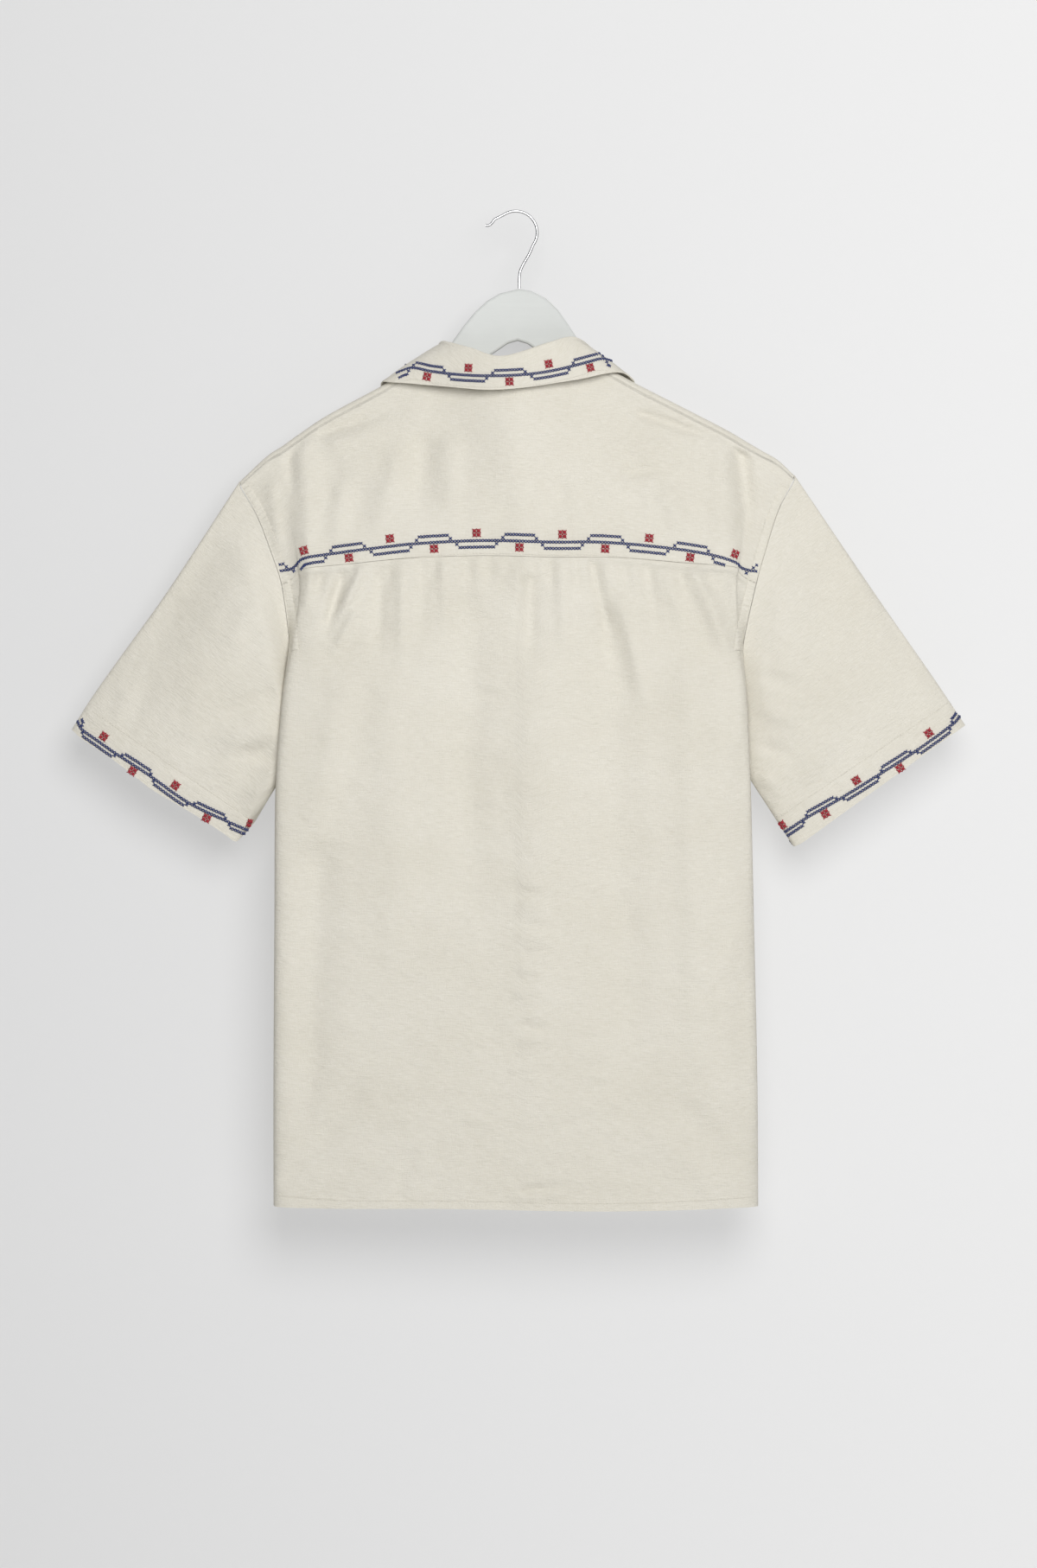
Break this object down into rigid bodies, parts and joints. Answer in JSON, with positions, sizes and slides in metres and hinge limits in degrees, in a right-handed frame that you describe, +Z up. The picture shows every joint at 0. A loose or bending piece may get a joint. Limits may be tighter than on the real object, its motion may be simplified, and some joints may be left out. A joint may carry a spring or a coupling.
{
  "type": "short-sleeve shirt on hanger",
  "caption": "Short-sleeve button-front shirt with a turned-back collar and a back yoke, hanging on a flat wooden hanger with a wire hook.",
  "frame": {"origin": "inside the top of the hook, where the hanger hangs from a rail", "axes": "+Z up; +X to the wearer's right; the shirt's back faces -Y and its front +Y"},
  "size_m": [0.8272, 0.0945, 0.9249],
  "materials": {
    "cloth": "undyed cotton and linen, plain weave with slubs",
    "button": "cream shell-like button",
    "paint": "white satin paint on wood",
    "steel": "polished steel wire"
  },
  "bodies": {
    "root": {"back_yoke": "cloth", "back_panel": "cloth", "front_left": "cloth", "front_right": "cloth", "lapel_left": "cloth", "lapel_right": "cloth", "sleeve_left": "cloth", "sleeve_right": "cloth", "collar": "cloth", "button_1": "button", "button_2": "button", "button_3": "button", "button_4": "button", "button_5": "button", "button_6": "button", "hanger": "paint", "hook": "steel"}
  },
  "joints": []
}
